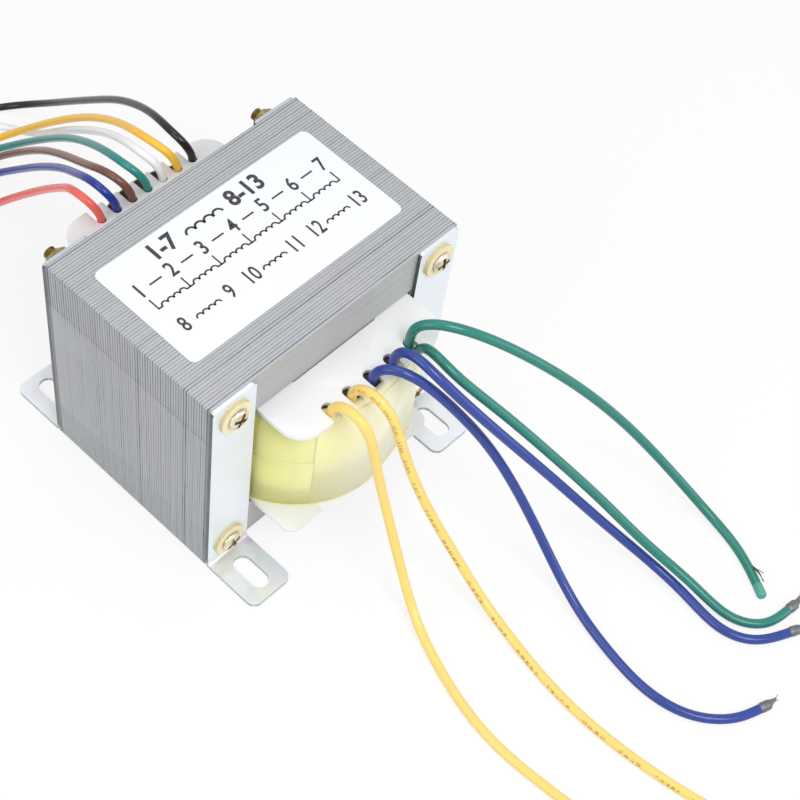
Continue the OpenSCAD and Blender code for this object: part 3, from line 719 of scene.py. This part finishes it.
def end_piece(bm, name, route, verts, material, roll=0, soft_angle=50):
    """Sets what was made along +Z on a lead's end, turned about the lead and clear of the floor."""
    end, before = Vector(route[-1]), Vector(route[-2])
    aim = Vector((0, 0, 1)).rotation_difference(end - before).to_matrix().to_4x4()
    turn = Matrix.Rotation(math.radians(roll), 4, "Z")
    bmesh.ops.transform(bm, matrix=Matrix.Translation(end) @ aim @ turn, verts=verts)
    sunk = -min(v.co.z for v in verts)
    if sunk > 0:
        bmesh.ops.translate(bm, vec=(0, 0, sunk), verts=verts)
    bmesh.ops.recalc_face_normals(bm, faces=bm.faces)
    return piece_from(bm, name, material, soft_angle)


def ringed(bm, rings, segments=20):
    """A closed round form along +Z. Each ring is a height, two radii and a shift along X."""
    before = rings[0]
    loop = bmesh.ops.create_circle(bm, cap_ends=True, segments=segments, radius=1)["verts"]
    made = list(loop)
    bmesh.ops.scale(bm, vec=(before[1], before[2], 1), verts=loop)
    bmesh.ops.translate(bm, vec=(before[3], 0, before[0]), verts=loop)
    edges = [e for e in bm.edges if e.verts[0] in loop and e.verts[1] in loop]
    for ring in rings[1:]:
        grown = bmesh.ops.extrude_edge_only(bm, edges=edges)["geom"]
        verts = verts_of(grown)
        edges = [e for e in edges_of(grown) if all(v in verts for v in e.verts)]
        bmesh.ops.translate(bm, vec=(-before[3], 0, ring[0] - before[0]), verts=verts)
        bmesh.ops.scale(bm, vec=(ring[1] / before[1], ring[2] / before[2], 1), verts=verts)
        bmesh.ops.translate(bm, vec=(ring[3], 0, 0), verts=verts)
        made += verts
        before = ring
    bmesh.ops.edgeloop_fill(bm, edges=edges)
    return made


def hair(bm, start, lean, length, bow, radius=0.1):
    """One loose strand, curving as it goes."""
    loop = bmesh.ops.create_circle(bm, cap_ends=True, segments=6, radius=radius)["verts"]
    faces = list({f for v in loop for f in v.link_faces})
    edges = list({e for v in loop for e in v.link_edges})
    before = set(bm.verts)
    bmesh.ops.spin(bm, geom=loop + edges + faces, cent=(bow, 0, 0), axis=(0, 1, 0),
                   angle=length / bow, steps=8, use_merge=False)
    verts = loop + [v for v in bm.verts if v not in before]
    bmesh.ops.rotate(bm, cent=(0, 0, 0), matrix=Matrix.Rotation(math.radians(lean), 3, "Y"), verts=verts)
    bmesh.ops.translate(bm, vec=start, verts=verts)
    return verts


def tinned_tip(node, route, material, roll, steps):
    """A dipped end: a sleeve of solder over the lead, then a pinched wedge and two loose hairs."""
    bm = bmesh.new()
    rings = [(-0.5, 1.4, 1.4, 0), (0.1, 1.46, 1.46, 0), (0.3, 1.6, 1.6, 0), (0.7, 1.64, 1.64, 0),
             (2.9, 1.56, 1.6, 0), (3.4, 1.2, 1.36, 0.06)]
    if steps == 2:
        rings += [(3.85, 0.98, 1.05, 0.08), (4.7, 0.92, 1.0, 0.2), (4.9, 0.7, 0.9, 0.3)]
    wedge = 0.3 * steps
    rings += [(wedge + 4.4, 0.66, 0.86, 0.5), (wedge + 5.4, 0.42, 0.6, 0.8), (wedge + 6.1, 0.16, 0.3, 0.9)]
    made = ringed(bm, rings)
    made += hair(bm, (0.75, 0.2, 5.2), 16, 3.0, 9)
    made += hair(bm, (0.5, -0.4, 5.0), -6, 2.0, 14)
    piece = end_piece(bm, node + "_solder", route, made, material, roll)
    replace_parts(piece, node)
    return [piece]


def stripped_end(name, route, diameter, material):
    """A bare end: strands pressed to one rounded stub."""
    r = diameter * 0.33
    bm = bmesh.new()
    made = ringed(bm, [(-0.5, r, r, 0), (3.6, r * 0.96, r, 0), (4.4, r * 0.7, r * 0.86, 0.1),
                       (4.8, r * 0.3, r * 0.5, 0.16)], 14)
    return [end_piece(bm, name, route, made, material)]


def closed_end(name, route, material, metal):
    """The lead that ends in a short round cap, with a few fine strands lifted beside it."""
    bm = bmesh.new()
    made = ringed(bm, [(-3.6, 1.46, 1.46, 0), (-3.2, 1.56, 1.56, 0), (0.2, 1.56, 1.56, 0),
                       (0.9, 1.3, 1.3, 0), (1.25, 0.8, 0.8, 0)])
    cap = end_piece(bm, name, route, made, material)
    bm = bmesh.new()
    made = []
    for k, (lean, length) in enumerate(((-38, 5.0), (-30, 6.0), (-46, 4.0), (-24, 5.4))):
        made += hair(bm, (-1.35, 0.22 * (k - 1.5), -9.5 + 0.4 * k), lean, length, 7 + 2 * k, 0.13)
    return [cap, end_piece(bm, name + "_strands", route, made, metal, -62, 60)]


def lay_leads():
    """Six heavy leads from the front notches and seven thin ones from the rear, each with its end."""
    tinned = tinned_metal()
    front_yellow = lead_pvc("front_yellow_pvc", rgb(242, 211, 118))
    printed_yellow = lead_pvc("front_yellow_printed_pvc", rgb(242, 211, 118), (rgb(146, 98, 36), 0.37, 0.6))
    front_blue = lead_pvc("front_blue_pvc", rgb(44, 66, 146))
    front_green = lead_pvc("front_green_pvc", rgb(40, 126, 114), (rgb(14, 70, 64), 0.3, 0.25))
    pale_green = lead_pvc("green_lead_cap", rgb(84, 158, 145), shine=0.3)
    rear_black = lead_pvc("rear_black_pvc", rgb(26, 25, 27), shine=0.16)
    # node, route, diameter, length, material
    leads = [
        ("front_yellow_lead_1", FRONT_YELLOW_1, FRONT_LEAD, 188, front_yellow),
        ("front_yellow_lead_2", FRONT_YELLOW_2, FRONT_LEAD, 200, printed_yellow),
        ("front_blue_lead_1", FRONT_BLUE_1, FRONT_LEAD, 182, front_blue),
        ("front_blue_lead_2", FRONT_BLUE_2, FRONT_LEAD, 175, front_blue),
        ("front_green_lead_1", FRONT_GREEN_1, FRONT_LEAD, 173, front_green),
        ("front_green_lead_2", FRONT_GREEN_2, FRONT_LEAD, 163, front_green),
        ("rear_red_lead", REAR_RED, REAR_LEAD, 143, lead_pvc("rear_red_pvc", rgb(232, 96, 89))),
        ("rear_blue_lead", REAR_BLUE, REAR_LEAD, 155, lead_pvc("rear_blue_pvc", rgb(28, 50, 150))),
        ("rear_brown_lead", REAR_BROWN, REAR_LEAD, 156, lead_pvc("rear_brown_pvc", rgb(118, 74, 62))),
        ("rear_green_lead", REAR_GREEN, REAR_LEAD, 158, lead_pvc("rear_green_pvc", rgb(38, 136, 131))),
        ("rear_white_lead", REAR_WHITE, REAR_LEAD, 157, lead_pvc("rear_white_pvc", rgb(244, 242, 246))),
        ("rear_yellow_lead", REAR_YELLOW, REAR_LEAD, 165, lead_pvc("rear_yellow_pvc", rgb(250, 192, 56))),
        ("rear_black_lead", REAR_BLACK, REAR_LEAD, 172, rear_black),
    ]
    # CAD tip, turn about the lead, steps in the solder
    tips = {"front_blue_lead_1": ("blue_1_tinned_tip", 128, 1),
            "front_blue_lead_2": ("blue_2_tinned_tip", 170, 1),
            "front_green_lead_2": ("green_2_tinned_tip", 150, 2)}
    for node, route, diameter, length, material in leads:
        piece = lead_curve(node + "_insulation", route, diameter, material)
        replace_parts(piece, node)
        if node in tips:
            tip, roll, steps = tips[node]
            ends = tinned_tip(tip, route, tinned, roll, steps)
        elif node == "front_green_lead_1":
            ends = closed_end(node + "_cap", route, pale_green, tinned)
        else:
            ends = stripped_end(node + "_stripped_end", route, diameter, tinned)


# ---- Core, feet and fasteners ----

# The cross recess: half an arm's width, and how far an arm reaches
ARM_HALF, ARM_REACH = 0.58, 2.6


def in_cross(face, slack=0.0):
    """Whether a face of a screw head lies within its cross."""
    middle = face.calc_center_median()
    across, along = sorted((abs(middle.x), abs(middle.y)))
    return across < ARM_HALF + slack and along < ARM_REACH + slack and middle.z > 0.4


def screw_head(bm, turn):
    """A domed head on +Z with a cross recess; the recess keeps a material of its own."""
    tips = bmesh.ops.create_vert(bm, co=(3.05, 0, 0))["vert"]
    tips = drawn_on(bm, tips, 0.32, 0, 0.25)
    tips = drawn_on(bm, tips, -0.04, 0, 0.3)
    # The dome, from the head's side to its crown
    dome = bmesh.ops.spin(bm, geom=tips, cent=(1.9, 0, 0), axis=(0, 1, 0),
                          angle=-math.radians(68), steps=6, use_merge=False)
    spun_round(bm, verts_of(dome["geom_last"]), 36)
    for axis in ((1, 0, 0), (0, 1, 0)):
        for reach in (-ARM_REACH, -ARM_HALF, ARM_HALF, ARM_REACH):
            bmesh.ops.bisect_plane(bm, geom=bm.verts[:] + bm.edges[:] + bm.faces[:],
                                   plane_co=Vector(axis) * reach, plane_no=axis, dist=0.0005)
    bmesh.ops.recalc_face_normals(bm, faces=bm.faces)
    cross = [f for f in bm.faces if in_cross(f)]
    floor = verts_of(bmesh.ops.extrude_face_region(bm, geom=cross)["geom"])
    bmesh.ops.delete(bm, geom=cross, context="FACES")
    bmesh.ops.scale(bm, vec=(0.76, 0.76, 0.2), verts=floor)
    bmesh.ops.translate(bm, vec=(0, 0, 0.25), verts=floor)
    bm.normal_update()
    for face in bm.faces:
        if in_cross(face, 0.001) and face.normal.z < 0.8:
            face.material_index = 1
    bmesh.ops.rotate(bm, cent=(0, 0, 0), matrix=Matrix.Rotation(math.radians(turn), 3, "Z"), verts=bm.verts)


def threaded_end(bm):
    """The bolt's rear end on -Z: thread ridges past the nut, and a chamfered point."""
    ridge, half_pitch = 0.36, 0.33
    tips = bmesh.ops.create_vert(bm, co=(1.9, 0, -2 * HEAD_SEAT - 0.2))["vert"]
    tips = drawn_on(bm, tips, 0.1, 0, -half_pitch)
    for _ in range(8):
        tips = drawn_on(bm, tips, -ridge, 0, -half_pitch)
        tips = drawn_on(bm, tips, ridge, 0, -half_pitch)
    tips = drawn_on(bm, tips, -0.55, 0, -0.1)
    tips = drawn_on(bm, tips, -1.3, 0, 0)
    spun_round(bm, tips, 24)
    bmesh.ops.recalc_face_normals(bm, faces=bm.faces)


def clamp_screws(plating, thread, recess_shade):
    """The four screws through the core, heads at the front."""
    screws = (("front_left_low", -BOLT_Y, BOLT_LOW, 20), ("front_left_high", -BOLT_Y, BOLT_HIGH, 62),
              ("front_right_low", BOLT_Y, BOLT_LOW, 35), ("front_right_high", BOLT_Y, BOLT_HIGH, 5))
    for name, y, z, turn in screws:
        at = Matrix.Translation((HEAD_SEAT, y, z)) @ Matrix.Rotation(math.pi / 2, 4, "Y")
        for part, build in (("head", lambda bm: screw_head(bm, turn)), ("thread", threaded_end)):
            bm = bmesh.new()
            build(bm)
            bmesh.ops.transform(bm, matrix=at, verts=bm.verts)
            piece = piece_from(bm, "screw_" + part + "_" + name, plating if part == "head" else thread, 40)
            piece.data.materials.append(recess_shade)
            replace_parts(piece, "clamp_bolts")


def dress_metal():
    """Finishes on the core and the feet, and the screws, nuts and washers."""
    steel, zinc = lamination_steel(), zinc_plate()
    paint("e_laminations", steel)
    paint("i_laminations", steel)
    for corner in ("front_left", "front_right", "rear_left", "rear_right"):
        paint(corner + "_foot", zinc)
    head = yellow_plate("screw_plating", rgb(224, 215, 184), rgb(196, 178, 128), rgb(236, 233, 216))
    # The thread and the nuts take darker copies of the screws' plating, as painted shade
    thread = yellow_plate("thread_plating_painted_shade", rgb(140, 124, 80), rgb(110, 92, 56), rgb(160, 150, 104))
    shaded_nut_plating = yellow_plate("nut_plating_painted_shade", rgb(150, 134, 92), rgb(116, 98, 62), rgb(176, 168, 126))
    clamp_screws(head, thread, recess_dirt())
    softened("clamp_nuts", "plated_nuts", shaded_nut_plating, 0.15)
    softened("fibre_washers", "fibre_rings", washer_fibre(), 0.18)


# ---- Bobbin and coil ----

def on_circle(centre, r, degrees):
    """A place on a circle, in the plane of the tape's path."""
    angle = math.radians(degrees)
    return (centre[0] + r * math.cos(angle), centre[1] + r * math.sin(angle))


def coil_outline(bm, z, outward, start=None):
    """The tape's path seen from above, as a chain of edges: round the front end with its
    fuller corner on the +Y side, and unless it has a start in degrees, right round the coil."""
    bulge, corner = BULGE_R + outward, SHOULDER_R + outward
    reach = math.degrees(math.asin((COIL_Y + outward) / bulge))
    run = Vector((SHOULDER_X - BULGE_X, SHOULDER_Y))
    lean = math.degrees(math.atan2(run.y, run.x))
    spread = math.degrees(math.acos((BULGE_R - SHOULDER_R) / run.length))

    def turned(tips, centre, angle, steps):
        swept = bmesh.ops.spin(bm, geom=tips, cent=(*centre, 0), axis=(0, 0, 1),
                               angle=math.radians(angle), steps=steps, use_merge=False)
        return verts_of(swept["geom_last"])

    def straight(tips, x, y):
        return drawn_on(bm, tips, *(Vector((x, y, z)) - tips[0].co))

    first = -reach if start is None else start
    front, shoulder = (BULGE_X, 0), (SHOULDER_X, SHOULDER_Y)
    tips = bmesh.ops.create_vert(bm, co=(*on_circle(front, bulge, first), z))["vert"]
    tips = turned(tips, front, lean - spread - first, 40)
    tips = straight(tips, *on_circle(shoulder, corner, lean - spread))
    tips = turned(tips, shoulder, 2 * spread, 14)
    tips = straight(tips, SHOULDER_END_X, COIL_Y + outward)
    if start is None:
        tips = straight(tips, -BULGE_X - bulge * math.cos(math.radians(reach)), COIL_Y + outward)
        tips = turned(tips, (-BULGE_X, 0), 2 * reach, 44)
        straight(tips, *on_circle(front, bulge, -reach))
        bmesh.ops.remove_doubles(bm, verts=bm.verts, dist=0.001)


def tape_piece(name, material, low, high, outward, thick, start=None):
    """A band of tape with its thickness inwards."""
    bm = bmesh.new()
    coil_outline(bm, low, outward, start)
    grown = bmesh.ops.extrude_edge_only(bm, edges=bm.edges[:])["geom"]
    bmesh.ops.translate(bm, vec=(0, 0, high - low), verts=verts_of(grown))
    bmesh.ops.recalc_face_normals(bm, faces=bm.faces)
    furthest = max(bm.faces, key=lambda f: f.calc_center_median().x)
    if furthest.normal.x < 0:
        bmesh.ops.reverse_faces(bm, faces=bm.faces)
    piece = piece_from(bm, name, material, 40)
    wall = piece.modifiers.new("thickness", "SOLIDIFY")
    wall.thickness, wall.offset = thick * MM, -1
    wall.use_even_offset = True
    return piece


def wrap_coil():
    """The yellow tape: two wraps with a lap between, the last turn over them, and the lip at the top."""
    lower = tape_film("coil_tape_film", rgb(226, 225, 140), rgb(253, 250, 214))
    outer = tape_film("coil_tape_outer_turn", rgb(229, 228, 144), rgb(254, 251, 218), 0.37)
    # The paler tape of the lap and the ridge is a painted highlight on their edges; on the folded lip it is
    # doubled tape, partly painted light where it faces up
    pale = tape_film("coil_tape_fold_and_highlight", rgb(240, 238, 176), rgb(250, 247, 208), 0.4)
    main = tape_piece("coil_tape_upper_wrap", lower, COIL_LOW + 0.05, COIL_HIGH - 0.05, 0.0, 0.36)
    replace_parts(main, "coil_tape")
    tape_piece("coil_tape_lower_wrap", lower, COIL_LOW + 0.05, LAP_Z + 0.2, 0.2, 0.19)
    tape_piece("coil_tape_lap", pale, LAP_Z, LAP_Z + 0.28, 0.24, 0.23)
    tape_piece("coil_tape_ridge", pale, RIDGE_Z, RIDGE_Z + 0.25, 0.07, 0.06)
    tape_piece("coil_tape_last_turn", outer, COIL_LOW + 0.1, COIL_HIGH - 0.1, 0.27, 0.06, -36)
    tape_piece("coil_tape_folded_lip", pale, COIL_HIGH - 0.05, COIL_HIGH + 0.04, 0.06, 3.0, -60)
    tape_piece("coil_tape_bottom_edge", lower, COIL_LOW + 0.02, COIL_LOW + 0.4, 0.42, 0.3)


def dress_bobbin():
    """The moulded bobbin and what shows of the windings in its notches."""
    softened("bobbin", "moulded_bobbin", bobbin_nylon(), 0.3, 3)
    copper = enamelled_copper()
    paint("primary_winding", copper)
    paint("secondary_winding", copper)
    paint("winding_insulation", tape_film("winding_paper", rgb(220, 205, 150), rgb(205, 186, 128), 0.5))


# ---- Label ----

def printed_text(bm, text, size, across, along, stretch, weight):
    """Numbers in print, centred at a place along the core's width."""
    data = bpy.data.curves.new("line_of_print", "FONT")
    data.body, data.size, data.offset = text, size, weight
    data.align_x, data.align_y = "CENTER", "CENTER"
    data.resolution_u = 3
    words = bpy.data.objects.new("line_of_print", data)
    mesh = bpy.data.meshes.new_from_object(words)
    mesh.transform(Matrix.Translation((along, across, PRINT_Z)) @ Matrix.Rotation(math.pi / 2, 4, "Z")
                   @ Matrix.Diagonal((stretch, 1, 1, 1)))
    bm.from_mesh(mesh)
    bpy.data.objects.remove(words)
    bpy.data.curves.remove(data)
    bpy.data.meshes.remove(mesh)


def printed_bar(bm, across_from, across_to, along, weight):
    """A straight bar of print along the core's width."""
    made = bmesh.ops.create_grid(bm, x_segments=1, y_segments=1, size=0.5)["verts"]
    bmesh.ops.scale(bm, vec=(weight, across_to - across_from, 1), verts=made)
    bmesh.ops.translate(bm, vec=(along, (across_from + across_to) / 2, PRINT_Z), verts=made)


def printed_turns(bm, across, along, r=1.1, weight=0.55):
    """The sign for a winding: four half rings side by side, open towards the front."""
    for k in (-3, -1, 1, 3):
        centre = Vector((along, across + k * r, PRINT_Z))
        made = bmesh.ops.create_vert(bm, co=centre + Vector((0, r - weight / 2, 0)))["vert"]
        made += drawn_on(bm, made, 0, weight, 0)
        edge = [e for e in bm.edges if e.verts[0] in made and e.verts[1] in made]
        bmesh.ops.spin(bm, geom=made + edge, cent=centre, axis=(0, 0, 1),
                       angle=math.pi, steps=12, use_merge=False)


def label_sheet():
    """The film itself, with rounded corners."""
    bm = bmesh.new()
    sheet = bmesh.ops.create_grid(bm, x_segments=1, y_segments=1, size=0.5)["verts"]
    bmesh.ops.scale(bm, vec=(LABEL_W, LABEL_L, 1), verts=sheet)
    bmesh.ops.translate(bm, vec=(LABEL_MID, 0, LABEL_TOP - LABEL_THICK), verts=sheet)
    bmesh.ops.bevel(bm, geom=sheet, offset=LABEL_CORNER, segments=8, profile=0.5,
                    affect="VERTICES", material=-1)
    grown = bmesh.ops.extrude_face_region(bm, geom=bm.faces[:])["geom"]
    bmesh.ops.translate(bm, vec=(0, 0, LABEL_THICK), verts=verts_of(grown))
    bmesh.ops.recalc_face_normals(bm, faces=bm.faces)
    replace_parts(piece_from(bm, "core_label", label_film(), 30), "rating_label")


def label_print():
    """Lead numbers and winding signs, in four rows of black print."""
    bm = bmesh.new()
    # The heading: all thirteen leads, seven on one side and six on the other
    heading = -16.2
    printed_text(bm, "1-7", 8.0, -20, heading, 0.9, 0.25)
    printed_turns(bm, -5.0, heading + 1.4, 1.7, 0.75)
    printed_text(bm, "8-13", 8.0, 11.5, heading, 0.9, 0.25)
    # The tapped winding, with a number at each tap
    numbers, winding, step, last = -8.8, -1.1, 11.6, 7
    for number in range(1, last + 1):
        tap = -35 + step * (number - 1)
        printed_text(bm, str(number), 7.2, tap, numbers, 0.8, 0.12)
        printed_bar(bm, tap - 0.25, tap + 0.25, winding - 1.9, 4.2)
        if number < last:
            printed_bar(bm, tap + 3.6, tap + 8.0, numbers, 0.6)
            printed_turns(bm, tap + step / 2, winding)
            printed_bar(bm, tap, tap + 1.5, winding, 0.55)
            printed_bar(bm, tap + step - 1.5, tap + step, winding, 0.55)
    # The three plain windings
    plain, beside = 7.4, 8.4
    for middle, first in ((-25, 8), (0, 10), (25, 12)):
        printed_text(bm, str(first), 7.2, middle - beside, plain, 0.72, 0.1)
        printed_turns(bm, middle, plain + 0.8)
        printed_text(bm, str(first + 1), 7.2, middle + beside, plain, 0.72, 0.1)
    bmesh.ops.recalc_face_normals(bm, faces=bm.faces)
    bmesh.ops.reverse_faces(bm, faces=[f for f in bm.faces if f.normal.z < 0])
    piece_from(bm, "label_print", print_ink())


# ---- Studio ----

def soft_lamp(name, place, target, size, watts):
    """A square white lamp, turned to its target."""
    data = bpy.data.lights.new(name, "AREA")
    data.shape, data.size, data.energy = "SQUARE", size, watts
    lamp = bpy.data.objects.new(name, data)
    lamp.location = place
    lamp.rotation_euler = (Vector(target) - Vector(place)).to_track_quat("-Z", "Y").to_euler()
    bpy.context.scene.collection.objects.link(lamp)


def set_studio():
    """A white floor, a plain white world and four soft lamps."""
    bm = bmesh.new()
    bmesh.ops.create_grid(bm, x_segments=1, y_segments=1, size=3)
    mesh = bpy.data.meshes.new("floor")
    bm.to_mesh(mesh)
    bm.free()
    mesh.materials.append(floor_paper())
    floor = bpy.data.objects.new("floor", mesh)
    floor.location.z = -0.0001
    bpy.context.scene.collection.objects.link(floor)

    world = bpy.data.worlds.new("studio")
    bpy.context.scene.world = world
    world.use_nodes = True
    tree = world.node_tree
    background = tree.nodes["Background"]
    strength = ramp(tree, seen_straight(tree), 0, 1, 0.5, 1.0, soft=False)
    tree.links.new(strength, background.inputs["Strength"])
    background.inputs["Color"].default_value = (1, 1, 1, 1)
    soft_lamp("key", (0.45, -0.1, 0.68), (0.03, 0, 0.04), 0.35, 2.6)
    soft_lamp("left", (-0.05, -0.6, 0.4), (0, 0, 0.04), 0.4, 1.2)
    soft_lamp("right", (0.6, 0.4, 0.3), (0.03, 0, 0.03), 0.4, 0.9)
    soft_lamp("top", (-0.15, 0.1, 0.95), (0, 0, 0.05), 0.5, 1.45)
    bpy.context.scene.view_settings.view_transform = "Standard"


set_camera()
lay_leads()
dress_metal()
dress_bobbin()
wrap_coil()
label_sheet()
label_print()
set_studio()

bpy.context.view_layer.update()
